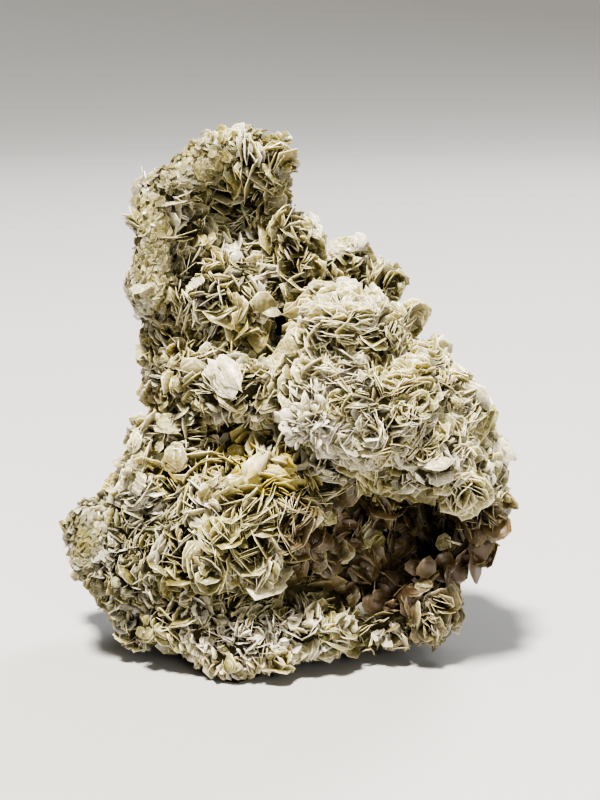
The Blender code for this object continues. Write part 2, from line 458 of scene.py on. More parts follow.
def crossings(places, normals):
    """Straight plates that grow every way through one another."""
    owner, _, _ = in_clusters(len(places), 5, 10)
    up = leaned(normals[owner], 0.2)
    facing, _ = across(up)
    radius = mm_between(1.0, 2.4, owner)
    reach = mm_between(2.2, 3.4, owner)
    base = places[owner] + dice.normal(0, 1.0 * MM, (len(owner), 3))
    thickness = mm_between(0.06, 0.15, owner)
    tone = dice.normal(0, TONE_SPREAD, len(places))[owner]
    return plates_from(base, up, facing, radius, reach, thickness, tone, (1.0, 1.9), (0.7, 1.0), 0.03), owner


def shingles(places, normals):
    """A few round plates that hang or lie side by side and show their faces."""
    owner, _, _ = in_clusters(len(places), 2, 3)
    first, _ = across(normals[owner])
    tilt = np.radians(dice.uniform(35, 80, len(owner)))[:, None]
    up = first * np.sin(tilt) + normals[owner] * np.cos(tilt)
    facing = normals[owner] * np.sin(tilt) - first * np.cos(tilt)
    radius = mm_between(2.0, 4.2, owner)
    reach = mm_between(2.6, 4.8, owner)
    base = places[owner] + dice.normal(0, 0.9 * MM, (len(owner), 3))
    thickness = mm_between(0.05, 0.1, owner)
    tone = dice.normal(0, 0.15, len(owner))
    rows = plates_from(base, up, facing, radius, reach, thickness, tone, (0.75, 1.1), (0.0, 0.4), 0.03)
    rows["bend"] *= 0.3
    return rows, owner


def tufts(places, normals, lie):
    """Middle-sized plates between the large ones. Where lie is 1 they lie nearly flat, on a crust."""
    owner, _, _ = in_clusters(len(places), 2, 5)
    low = lie[owner]
    steep = dice.normal(size=(len(owner), 3)) * (0.35 + 0.5 * low)[:, None]
    up = unit(normals[owner] * (1 - 0.8 * low)[:, None] + steep)
    facing, _ = across(up)
    facing = facing * (1 - low)[:, None] + normals[owner] * low[:, None]
    base = places[owner] + dice.normal(0, 0.6 * MM, (len(owner), 3))
    radius = dice.uniform(0.8, 1.6, len(owner)) * (1 - 0.2 * low) * MM
    reach = dice.uniform(1.0, 2.4, len(owner)) * (1 - 0.5 * low) * MM
    thickness = mm_between(0.06, 0.15, owner)
    tone = dice.normal(0, TONE_SPREAD, len(places))[owner]
    return plates_from(base, up, facing, radius, reach, thickness, tone, (0.8, 1.7), wave=0.09), owner


def flakes(places, normals, lie):
    """Small single plates. Where lie is 1 they lie on one another like scales, where it is 0 they stand."""
    count = len(places)
    first, second = across(normals)
    tilt = np.radians(dice.uniform(0, 35, count) * (1 - lie) + lie * dice.uniform(58, 88, count))
    up = normals * np.cos(tilt)[:, None] + first * np.sin(tilt)[:, None]
    facing = first * np.cos(tilt)[:, None] - normals * np.sin(tilt)[:, None]
    facing += second * dice.normal(0, 0.25, (count, 1))
    radius = (dice.uniform(0.35, 1.0, count) + lie * dice.uniform(0.1, 0.6, count)) * MM
    standing = mm_between(0.6, 1.8, places)
    reach = standing * (1 - lie) + radius * lie
    base = places + normals * (lie * dice.uniform(-0.1, 0.55, count) * MM)[:, None]
    thickness = mm_between(0.07, 0.14, places)
    tone = dice.normal(0, TONE_SPREAD, count)
    rows = plates_from(base, up, facing, radius, reach, thickness, tone, (0.8, 1.5), wave=0.08)
    return rows, np.arange(count)


def books(rows, share):
    """Makes books of a share of the plates: more sheets lie on their faces, each smaller or set back."""
    parts = [rows]
    for sheet in (1, 2, -1):  # the sheet's place in the book, counted from the plate itself
        copied = rows[dice.random(len(rows)) < share / abs(sheet)].copy()
        step = sheet * (copied["thickness"] + dice.uniform(0.02, 0.2, len(copied)) * MM)
        slip = dice.uniform(-0.1, 0.45, len(copied)) * copied["radius"] * 0.6
        copied["centre"] += copied["normal"] * step[:, None] - copied["up"] * slip[:, None]
        copied["radius"] *= dice.uniform(0.75, 1.0, len(copied))
        copied["tint"][:, 0] = np.clip(copied["tint"][:, 0] + dice.normal(0, 0.08, len(copied)), 0, 1)
        parts.append(copied)
    return np.concatenate(parts)


def outlines(rows, corners):
    """Each plate's outline in its own plane, in radii: an uneven hexagon, broken off on some sides."""
    count = len(rows)
    angle = math.tau / corners * (np.arange(corners) + dice.uniform(-0.3, 0.3, (count, corners)))
    sixth = angle % (math.tau / 6) - math.tau / 12
    flat = math.cos(math.tau / 12) / np.cos(sixth)
    reach = flat ** rows["hexagon"][:, None] * dice.uniform(0.88, 1.05, (count, corners))
    for lobes, depth in ((2, 0.1), (3, 0.07)):
        reach *= 1 + depth * np.sin(lobes * angle + dice.uniform(0, math.tau, (count, 1)))
    for _ in range(2):
        broken_way = dice.uniform(0, math.tau, (count, 1))
        broken_at = dice.uniform(0.4, 1.5, (count, 1)) + 0.5 * (1 - rows["hexagon"][:, None])
        facing = np.cos(angle - broken_way)
        reach = np.where(facing * reach > broken_at, broken_at / np.maximum(facing, 1e-3), reach)
    angle += dice.uniform(0, math.tau, (count, 1))
    return reach * np.cos(angle) * rows["aspect"][:, None], reach * np.sin(angle)


def plate_points(rows, x, y, has_rim):
    """Each plate's points: its front's outline and middle and then its back's, or the back's middle alone."""
    up, normal, radius = rows["up"], rows["normal"], rows["radius"][:, None]
    right = np.cross(up, normal)
    turn, phase = np.arctan2(y, x), dice.uniform(0, math.tau, (2, len(rows), 1))
    wave = np.sin(2 * turn + phase[0]) + 0.7 * np.sin(3 * turn + phase[1]) + dice.normal(0, 0.3, x.shape)
    height = rows["bend"][:, None] * x**2 + rows["wave"][:, None] * wave * np.hypot(x, y)
    middle = (
        rows["centre"][:, None]
        + right[:, None] * (x * radius)[:, :, None]
        + up[:, None] * (y * radius)[:, :, None]
        + normal[:, None] * (height * radius)[:, :, None]
    )
    half = (normal * rows["thickness"][:, None] / 2)[:, None]
    front, back = middle + half, middle - half
    if not has_rim:
        front, back = np.concatenate([middle[:, :-1], front[:, -1:]], axis=1), back[:, -1:]
    return np.concatenate([front, back], axis=1)


def plate_faces(corners, has_rim):
    """One plate's rim of quads and its two fans of triangles, as numbers of its points.

    right, up and normal make a right-handed frame, so the outline runs anticlockwise on the front.
    """
    ring = np.arange(corners)
    after = (ring + 1) % corners
    shift = corners + 1 if has_rim else 0
    hub, back_hub = np.full(corners, corners), np.full(corners, corners + max(shift, 1))
    front_fan = np.stack([ring, after, hub], axis=1)
    back_fan = np.stack([after + shift, ring + shift, back_hub], axis=1)
    rim = np.stack([ring + shift, after + shift, after, ring], axis=1)[: corners if has_rim else 0]
    return rim, np.concatenate([front_fan, back_fan])


def plate_map(x, y, has_rim):
    """The UV map. Each plate has a square cell, which its front and back share; its rim is the ring round."""
    count, corners = len(x), x.shape[1] - 1
    cells = math.ceil(math.sqrt(count))
    cell = np.stack([np.arange(count) % cells, np.arange(count) // cells], axis=1)[:, None] + 0.5
    outline = np.stack([x, y], axis=2)
    outline /= np.abs(outline).max(axis=(1, 2), keepdims=True) * 2
    inner = (cell + outline * (0.8 if has_rim else 0.9)) / cells
    outer = (cell + outline * 0.95) / cells
    ring = np.arange(corners)
    after = (ring + 1) % corners
    fan_map = inner[:, np.minimum(plate_faces(corners, False)[1], corners)]
    rim_map = np.stack([outer[:, ring], outer[:, after], inner[:, after], inner[:, ring]], axis=2)
    return np.concatenate([rim_map[:, : corners if has_rim else 0].reshape(-1), fan_map.reshape(-1)])


def plate_mesh(name, rows, corners, has_rim):
    """One mesh of closed plates: a front and a back, each a fan round its middle, and a rim between them.

    A plate without a rim is a flat lens, whose front and back share their outline.
    """
    count = len(rows)
    x, y = outlines(rows, corners)
    x, y = np.pad(x, ((0, 0), (0, 1))), np.pad(y, ((0, 0), (0, 1)))  # the last one is the middle
    places = plate_points(rows, x, y, has_rim)
    rim, fans = plate_faces(corners, has_rim)
    each = places.shape[1]
    start = (np.arange(count) * each)[:, None, None]
    loops = np.concatenate([(rim[None] + start).reshape(-1), (fans[None] + start).reshape(-1)])
    rims, triangles = count * len(rim), count * len(fans)
    mesh = bpy.data.meshes.new(name)
    mesh.vertices.add(count * each)
    mesh.vertices.foreach_set("co", places.reshape(-1))
    mesh.loops.add(len(loops))
    mesh.loops.foreach_set("vertex_index", loops)
    mesh.polygons.add(rims + triangles)
    starts = [np.arange(rims) * 4, rims * 4 + np.arange(triangles) * 3]
    mesh.polygons.foreach_set("loop_start", np.concatenate(starts))
    mesh.polygons.foreach_set("use_smooth", np.repeat([False, has_rim], [rims, triangles]))
    mesh.update(calc_edges=True)
    mesh.uv_layers.new(name="OFBake").uv.foreach_set("vector", plate_map(x, y, has_rim))

    seed = np.broadcast_to(dice.random((count, 1)) * 40, x.shape)
    edge = np.broadcast_to(np.arange(corners + 1) < corners, x.shape)
    local = np.stack([x, y, seed, edge], axis=2)
    local = np.concatenate([local, local if has_rim else local[:, -1:]], axis=1)
    tint = np.broadcast_to(rows["tint"][:, None], (count, each, 4))
    for name, kind, field, values in (
        ("local", "FLOAT_VECTOR", "vector", local[:, :, :3]),  # the place in the plate's plane, its seed
        ("tint", "FLOAT_COLOR", "color", tint),
        ("edge", "FLOAT", "value", local[:, :, 3]),  # 1 at the outline, 0 in the middle
    ):
        mesh.attributes.new(name, kind, "POINT").data.foreach_set(field, values.reshape(-1))
    return mesh


# -------------------------------- tints by place

TONE, DRIFT_SIZE, GREEN_SIZE = 0.26, 11 * MM, 6 * MM
# Painted light and shade, and the yellow stain: how much lighter or darker each region's plates are made.
PAINTED_LIGHT_SHADE_AND_STAIN_TONES = (  # how much lighter the plates are in each region
    # painted light where it falls, partly whitish plates
    (WHITE_AND_PAINTED_LIGHT, 0.2),
    # painted light on the dome, which stands out into the light
    (DOME, 0.05),
    # painted shade in the hollow under the dome
    (CAVITY, -0.36),
    # painted shade in the hollows
    (HOLLOWS, -0.25),
    (YELLOWED, -0.25),
    # painted shade where the plates stand apart over a deep ground
    (OPEN, -0.22),
    # painted shade on the body's left end and the foot
    (FINE, -0.25),
    # painted shade in the creases
    (CREASES, -0.18),
    # painted light on the foot, standing for light bounced up from below
    (FOOT, 0.5),
)


def tint_plates(rows, places, normals, painted_gap_shade=0.0):
    """Gives each plate its tone with painted light and shade, its stain, its painted warm shade and its
    silver with painted sheen, by the place that it grows from.
    """
    count = len(rows)
    drift = rough_noise(places, DRIFT_SIZE, 3.0)
    green = np.clip(rough_noise(places, GREEN_SIZE, 17.0) * 2.5, -1, 1)
    # Painted shade: small plates low in the gaps are darker where there is no crust.
    tone = TONE + 0.16 * drift - painted_gap_shade * (1 - crust_share(places, normals))
    for regions, lighter in PAINTED_LIGHT_SHADE_AND_STAIN_TONES:
        tone += share_in(regions, places, normals) * lighter
    yellow, painted_warm_shade, cavity = shares(places, normals, YELLOWED, PAINTED_WARM_SHADE, CAVITY)
    white_and_lit, fine, hollow = shares(places, normals, WHITE_AND_PAINTED_LIGHT, FINE, HOLLOWS)
    tint = rows["tint"]
    tint[:, 0] = np.clip(tint[:, 0] + tone + dice.normal(0, 0.09, count), 0, 1)
    tint[:, 1] = np.clip(0.85 * yellow + 0.16 * green + dice.normal(0.02, 0.05, count), 0, 1)
    # Painted warm shade: browner in the hollow under the dome and in the warm-shaded regions.
    tint[:, 2] = np.clip(cavity + 0.5 * painted_warm_shade + dice.normal(-0.06, 0.06, count), 0, 1)
    # Silver, partly painted sheen: more where light falls, and none in the hollows, where shade falls.
    silver_and_sheen = 0.2 * white_and_lit + 0.05 * fine - 0.25 * green + dice.normal(0, 0.14, count)
    tint[:, 3] = np.clip(silver_and_sheen - cavity - hollow, 0, 0.55)


def grown(style, places, normals, lie, painted_gap_shade):
    """A layer of tinted plates: tufts or flakes, which lie down where lie is 1 and are painted darker off the
    crust, as shade in the gaps.
    """
    rows, owner = style(places, normals, lie)
    tint_plates(rows, places[owner], normals[owner], painted_gap_shade)
    return rows


# -------------------------------- materials


def node(tree, kind, **values):
    """Adds a shader node. Values with a socket's name set that socket, the others set the node."""
    made = tree.nodes.new("ShaderNode" + kind)
    for name, value in values.items():
        if name in made.inputs:
            made.inputs[name].default_value = value
        else:
            setattr(made, name, value)
    return made


def new_material(name, finish):
    """A material whose shader has the values in finish."""
    material = bpy.data.materials.new(name)
    material.use_nodes = True
    tree = material.node_tree
    shader = tree.nodes["Principled BSDF"]
    for socket, value in finish.items():
        shader.inputs[socket].default_value = value
    return material, tree, shader


def feed(tree, socket, value):
    """Links another socket to this one, or sets a plain value."""
    if isinstance(value, bpy.types.NodeSocket):
        tree.links.new(value, socket)
    else:
        socket.default_value = value


def mixed(tree, share, first, second):
    """A colour mix node's result. first and second are sockets or plain colours."""
    mix = node(tree, "Mix", data_type="RGBA")
    for number, value in zip(MIX_SOCKETS, (share, first, second)):
        feed(tree, mix.inputs[number], value)
    return mix.outputs[MIX_RESULT]


def calculated(tree, operation, first, second=0.0, clamp=False):
    """A math node's result. first and second are sockets or plain numbers."""
    sum_node = node(tree, "Math", operation=operation, use_clamp=clamp)
    feed(tree, sum_node.inputs[0], first)
    feed(tree, sum_node.inputs[1], second)
    return sum_node.outputs[0]


def noise_at(tree, place, **values):
    """A noise pattern's value at a place."""
    pattern = node(tree, "TexNoise", **values)
    tree.links.new(place, pattern.inputs["Vector"])
    return pattern.outputs[0]


def add_bump(tree, shader, height, strength, distance):
    bump = node(tree, "Bump", Strength=strength, Distance=distance)
    tree.links.new(height, bump.inputs["Height"])
    tree.links.new(bump.outputs[0], shader.inputs["Normal"])


OLIVE = (0.11, 0.10, 0.042, 1)
KHAKI = (0.34, 0.295, 0.125, 1)
CREAM = (0.80, 0.715, 0.475, 1)
OCHRE = (0.42, 0.335, 0.07, 1)
# Painted shade with warm bounced light, which browns the plates where shade falls under overhangs.
PAINTED_WARM_SHADE_COLOUR = (0.105, 0.064, 0.030, 1)
# Partly the mica's silvery whiteness, partly painted sheen and highlight on plates that catch the light.
SILVER_AND_PAINTED_SHEEN = (0.86, 0.81, 0.73, 1)
# Painted shade: the root is near-black so that the bottom of the gaps reads as shadow.
ROOT_SHADE_COLOURS = (0.010, 0.009, 0.004, 1), (0.075, 0.065, 0.03, 1)
# The crust's tan on the root, also used as painted light that lightens the gaps in the dome.
CRUST_AND_LIT_GAP_COLOURS = (0.045, 0.038, 0.016, 1), (0.34, 0.29, 0.165, 1)
MIX_SOCKETS, MIX_RESULT = (0, 6, 7), 2  # a mix node's share and its two colours
GRAIN_SCALE, BLOTCH_SCALE, ROOT_GRAIN_SCALE, STREAK_SCALE = 1500.0, 450.0, 700.0, (3.0, 26.0, 1.0)
GROWTH_LINES, LINE_WOBBLE = 22.0, 14.0  # from a plate's middle to its edge
# The pale edge is partly the sheets' paler broken edge, partly painted highlight where edges catch the light.
EDGE_POWER = 11.0  # how narrow the pale edge is

MICA_FINISH = {
    "Coat Weight": 0.35,
    "Coat Roughness": 0.26,
    "Transmission Weight": 0.15,
    "Subsurface Weight": 0.2,
    "Subsurface Radius": (1.0, 0.85, 0.45),
    "Subsurface Scale": 0.8 * MM,
    "IOR": 1.58,
}


def mica_material():
    """Mica: olive to cream by each plate's tone, lighter at the edge partly by painted highlight, with
    painted warm shade, silver with painted sheen, lines of growth and stains.
    """
    material, tree, shader = new_material("mica_plate", MICA_FINISH)
    tint = node(tree, "Attribute", attribute_name="tint")
    parts = node(tree, "SeparateColor")
    tree.links.new(tint.outputs["Color"], parts.inputs[0])
    local = node(tree, "Attribute", attribute_name="local")
    edge = node(tree, "Attribute", attribute_name="edge")
    place = node(tree, "TexCoord").outputs["Object"]
    grain = noise_at(tree, place, Scale=GRAIN_SCALE, Detail=4.0, Roughness=0.6)
    blotch = noise_at(tree, place, Scale=BLOTCH_SCALE, Detail=2.0)
    stretched = node(tree, "Mapping")
    stretched.inputs["Scale"].default_value = STREAK_SCALE
    tree.links.new(local.outputs["Vector"], stretched.inputs["Vector"])
    streaks = noise_at(tree, stretched.outputs["Vector"], Scale=1.0, Detail=2.0)

    def plus(first, second):
        return calculated(tree, "ADD", first, second)

    def times(first, second):
        return calculated(tree, "MULTIPLY", first, second)

    # The growth lines follow the outline, unevenly.
    rings = plus(times(edge.outputs["Fac"], GROWTH_LINES), times(blotch, LINE_WOBBLE))
    lines = calculated(tree, "SINE", rings)
    # Pale edge, partly painted highlight of edges catching the light.
    pale_and_lit_edge = calculated(tree, "POWER", edge.outputs["Fac"], EDGE_POWER)

    tone = plus(parts.outputs[0], times(pale_and_lit_edge, 0.7))
    tone = plus(tone, times(lines, 0.05))
    for source, amount in ((grain, 1.5), (blotch, 0.9), (streaks, 0.8)):
        tone = plus(tone, times(calculated(tree, "SUBTRACT", source, 0.5), amount))
    tone = calculated(tree, "ADD", tone, 0.0, clamp=True)
    ramp = node(tree, "ValToRGB")
    ramp.color_ramp.elements[0].color = OLIVE
    ramp.color_ramp.elements[1].color = CREAM
    ramp.color_ramp.elements.new(0.5).color = KHAKI
    tree.links.new(tone, ramp.inputs[0])
    colour = mixed(tree, parts.outputs[1], ramp.outputs[0], OCHRE)
    # Painted warm shade: browner where shade falls, less at the pale edge.
    inner = calculated(tree, "SUBTRACT", 1.0, times(pale_and_lit_edge, 0.4))
    colour = mixed(tree, times(parts.outputs[2], inner), colour, PAINTED_WARM_SHADE_COLOUR)
    # Silver, partly painted sheen.
    colour = mixed(tree, tint.outputs["Alpha"], colour, SILVER_AND_PAINTED_SHEEN)
    tree.links.new(colour, shader.inputs["Base Color"])

    apart = node(tree, "SeparateXYZ")
    tree.links.new(local.outputs["Vector"], apart.inputs[0])
    varied = calculated(tree, "FRACT", times(apart.outputs[2], 7.3))
    rough = plus(plus(times(varied, 0.35), 0.1), times(grain, 0.2))
    tree.links.new(rough, shader.inputs["Roughness"])
    add_bump(tree, shader, plus(plus(grain, times(lines, 0.15)), streaks), 0.7, 0.14 * MM)
    return material


def root_material():
    """The bottom of the gaps, painted near-black as their shade; tan where a crust lies on it, lighter in the
    dome.
    """
    material, tree, shader = new_material("mica_root_painted_shade", {"Roughness": 0.85, "Specular IOR Level": 0.2})
    place = node(tree, "TexCoord").outputs["Object"]
    grain = noise_at(tree, place, Scale=ROOT_GRAIN_SCALE, Detail=4.0)
    # Crust colour, which in the dome stands for painted light in the gaps.
    colour, crust_and_lit_gaps = mixed(tree, grain, *ROOT_SHADE_COLOURS), mixed(tree, grain, *CRUST_AND_LIT_GAP_COLOURS)
    crust = node(tree, "Attribute", attribute_name="crust")
    tree.links.new(mixed(tree, crust.outputs["Fac"], colour, crust_and_lit_gaps), shader.inputs["Base Color"])
    add_bump(tree, shader, grain, 0.8, 0.4 * MM)
    return material


# -------------------------------- stage

FLOOR_RADIUS, COVE_WIDTH, COVE_STEP, SECTORS = 1.4, 1.6, 6, 96  # metres, degrees a step of the cove's curve
FLOOR_COLOUR, SKY_COLOUR, SKY_STRENGTH = (0.36, 0.355, 0.345, 1), (0.6, 0.6, 0.6, 1), 0.45
LIGHTS = {  # place, size, power and colour
    "key": (Vector((-0.25, -0.65, 1.55)), 0.30, 98.0, (1.0, 0.96, 0.89)),
    "front": (Vector((0.45, -1.3, 0.5)), 0.5, 8.0, (1.0, 0.97, 0.93)),
    "back": (Vector((0.6, 1.1, 1.1)), 0.7, 22.0, (0.95, 0.97, 1.0)),
}


def add_stage():
    """A pale floor that turns up far away on every side, so that no horizon shows."""
    rises = np.radians(np.arange(COVE_STEP, 91, COVE_STEP))
    profile = [(0.0, 0.0), (FLOOR_RADIUS, 0.0)]
    profile += [(FLOOR_RADIUS + COVE_WIDTH * math.sin(a), 1.0 - math.cos(a)) for a in rises]
    verts = [
        (distance * math.cos(turn), distance * math.sin(turn), height)
        for distance, height in profile
        for turn in np.arange(SECTORS) * math.tau / SECTORS
    ]
    faces = [
        (a + i, a + (i + 1) % SECTORS, a + SECTORS + (i + 1) % SECTORS, a + SECTORS + i)
        for a in range(0, (len(profile) - 1) * SECTORS, SECTORS)
        for i in range(SECTORS)
    ]
    mesh = bpy.data.meshes.new("floor")
    mesh.from_pydata(verts, [], faces)
    mesh.polygons.foreach_set("use_smooth", [True] * len(mesh.polygons))
    floor = link(bpy.data.objects.new("floor", mesh))
    floor.data.materials.append(new_material("floor", {"Base Color": FLOOR_COLOUR, "Roughness": 0.9})[0])

    world = bpy.data.worlds.new("studio")
    bpy.context.scene.world = world
    world.use_nodes = True
    sky = world.node_tree.nodes["Background"]
    sky.inputs[0].default_value, sky.inputs[1].default_value = SKY_COLOUR, SKY_STRENGTH
    bpy.context.scene.view_settings.view_transform = "AgX"
    bpy.context.scene.view_settings.look = "AgX - High Contrast"


def add_light(name, place, size, power, colour):
    """A round lamp that points at the specimen."""
    light = bpy.data.lights.new(name, "AREA")
    light.shape = "DISK"
    light.size = size
    light.energy = power
    light.color = colour
    obj = link(bpy.data.objects.new(name, light))
    obj.location = place
    obj.rotation_euler = (VIEW_TARGET - obj.location).to_track_quat("-Z", "Y").to_euler()


# -------------------------------- the build

# Corners of each layer's plates and whether they have a rim.
CORNERS = {
    "sheets": (16, True),
    "petals": (9, True),
    "blades": (6, True),
    "tufts": (6, False),
    "flakes": (5, False),
}
CLUSTER_SPACING, TUFT_SPACING, FLAKE_COUNT = 2.8 * MM, 2.4 * MM, 60000
CRUST_RISE, DOME_RISE = 0.4 * MM, 0.8 * MM
GROUND_DEPTH, OPEN_DEPTH, HOLLOW_DEPTH, GAP_DEPTH = 1.6 * MM, 0.7 * MM, 3.0 * MM, 5.0 * MM
MOUND_RISE, CREASE_DEPTH = 1.2 * MM, 2.4 * MM
RELIEF = {8 * MM: 1.1 * MM, 4 * MM: 0.6 * MM, 1.6 * MM: 0.4 * MM}  # size and height of the ground's swells
TOP_CRUST = 92 * MM  # above this the tower's hidden side is all crust
ROOT_REACH = 1.6 * MM  # how far from the root a plate's foot may be
BOX_SLACK = np.array([[-1.2, -1.0, 0.0], [1.2, 1.0, 0.5]]) * MM  # how far plates may pass the solid's box
PLATE_ROOM, ROSETTE_ROOM = 0.55, 2.3  # mm kept free of clusters for each mm of radius or unit of size
LARGEST_PLATE = 3.1 * MM
SLABS = {"front": (-1, -8 * MM), "middle": (-8 * MM, 8 * MM), "back": (8 * MM, 1)}  # each slab's y


def crust_share(places, normals):
    """The crust seen in the photograph, and patches of it on the sides that it doesn't show."""
    patches = np.clip(rough_noise(places, 16 * MM, 7.0) * 3 - 0.3, 0, 1)
    patches = np.maximum(patches, np.clip((places[:, 2] - TOP_CRUST) / (6 * MM), 0, 1))
    return np.maximum(share_in(CRUSTS, places, normals), hidden_share(normals) * patches)


def shaped_ground(root):
    """Raises the root where a crust lies on it and lowers it where plates stand far apart."""
    skin = Skin(root.data)
    crust = crust_share(skin.points, skin.normals)
    hollow, gap, dome = shares(skin.points, skin.normals, HOLLOWS, GAPS, DOME)
    mound, crease, open_share = shares(skin.points, skin.normals, MOUNDS, CREASES, OPEN)
    dome *= 1 - gap
    shift = crust * CRUST_RISE - (1 - crust) * GROUND_DEPTH + dome * DOME_RISE
    for number, (size, height) in enumerate(RELIEF.items()):
        shift += rough_noise(skin.points, size, 31.0 + number) * height * (1 - 0.5 * crust)
    shift += mound * MOUND_RISE
    shift -= crease * CREASE_DEPTH
    shift -= hollow * HOLLOW_DEPTH + gap * GAP_DEPTH
    shift -= open_share * OPEN_DEPTH
    for name, (region, depth) in TRIMS.items():
        shift -= share_in({name: region}, skin.points, skin.normals, all_round=True) * depth * MM
    places = skin.points + skin.normals * shift[:, None]
    places[:, 2] = np.where(skin.points[:, 2] < FLAT_FOOT, 0.0, np.maximum(places[:, 2], 0.0))
    root.data.vertices.foreach_set("co", places.reshape(-1))
    # The crust on the root, and on the dome painted light that lightens its gaps.
    crust_and_lit_gaps = root.data.attributes.new("crust", "FLOAT", "POINT")
    crust_and_lit_gaps.data.foreach_set("value", np.maximum(crust, 0.45 * dome))
    root.data.update()
    return Skin(root.data)


def emptiness(places, normals):
    """The share of plates left out: in hollows and creases they stand apart, and the gaps have none."""
    hollow, gap, crease = shares(places, normals, HOLLOWS, GAPS, CREASES)
    return np.maximum(np.maximum(0.35 * hollow, 0.4 * crease), 0.9 * gap)


def cluster_places(skin):
    """Where clusters grow: evenly, and up to twice as close where the plates are fine."""
    places, normals = skin.spread(CLUSTER_SPACING)
    more_places, more_normals = skin.spread(CLUSTER_SPACING)
    fine, dome, cavity = shares(more_places, more_normals, FINE, DOME, CAVITY)
    close = fine + 0.6 * dome + 0.7 * cavity > dice.uniform(0.3, 0.7, len(fine))
    places = np.concatenate([places, more_places[close]])
    normals = np.concatenate([normals, more_normals[close]])
    kept = crust_share(places, normals) < dice.uniform(0.1, 0.5, len(places))
    kept &= dice.random(len(places)) > emptiness(places, normals)
    rooms = [(plate[:2], PLATE_ROOM * plate[2] * MM) for plate in NAMED_PLATES.values()]
    rooms += [(rosette[:2], ROSETTE_ROOM * rosette[2] * MM) for rosette in NAMED_ROSETTES.values()]
    rooms.append((WHITE_BALL, WHITE_BALL_RADIUS))
    for pixel, room in rooms:
        place, _ = skin.seen_at(pixel)
        kept &= np.linalg.norm(places - place, axis=1) > room
    return places[kept], normals[kept]


def grow_clusters(skin):
    """The large plates, in clusters whose style and size follow the region, as petals and as blades."""
    places, normals = cluster_places(skin)
    crust = crust_share(places, normals)
    open_share, dome, fine, cavity = shares(places, normals, OPEN, DOME, FINE, CAVITY)
    chances = {  # how often each style grows at each place
        roses: 0.28 + 0.4 * dome - 0.22 * open_share - 0.15 * fine - 0.26 * cavity,
        sheaves: 0.34 - 0.08 * dome - 0.3 * cavity,
        crossings: 0.38 + 0.4 * open_share - 0.25 * dome - 0.3 * cavity,
        shingles: 0.9 * cavity,
    }
    weights = np.maximum(np.stack(list(chances.values())), 0)
    limits = np.cumsum(weights, axis=0) / weights.sum(axis=0)
    style = (dice.random(len(places)) > limits).sum(axis=0)
    scale = (1 + 0.3 * open_share - 0.25 * fine + 0.22 * dome) * (1 - 0.5 * crust)
    scale *= 1 + 0.6 * rough_noise(places, 9 * MM, 41.0)
    groups = {"petals": [], "blades": []}
    for number, grow in enumerate(chances):
        here = style == number
        rows, owner = grow(places[here], normals[here])
        rows["radius"] = np.minimum(rows["radius"] * scale[here][owner], LARGEST_PLATE)
        rows["wave"] *= 1 + fine[here][owner]
        rows["thickness"] *= 1 - 0.35 * fine[here][owner]
        tint_plates(rows, places[here][owner], normals[here][owner])
        groups["blades" if grow in (sheaves, crossings) else "petals"].append(rows)
    return {layer: books(np.concatenate(rows), 0.2) for layer, rows in groups.items()}


def grow_tufts(skin):
    places, normals = skin.spread(TUFT_SPACING)
    left_out = emptiness(places, normals) + 0.4 * crust_share(places, normals)
    kept = dice.random(len(places)) > left_out + 0.85 * share_in(CAVITY, places, normals)
    places, normals = places[kept], normals[kept]
    # painted shade on the tufts in the gaps
    return grown(tufts, places, normals, crust_share(places, normals), painted_gap_shade=0.12)


def grow_flakes(skin):
    """Flakes in the gaps, and packed close where there is a crust."""
    places, normals = skin.scatter(FLAKE_COUNT)
    crust = crust_share(places, normals)
    kept = dice.random(len(places)) < crust + 0.12 * (1 - share_in(CAVITY, places, normals))
    return grown(flakes, places[kept], normals[kept], crust[kept], painted_gap_shade=0.15)


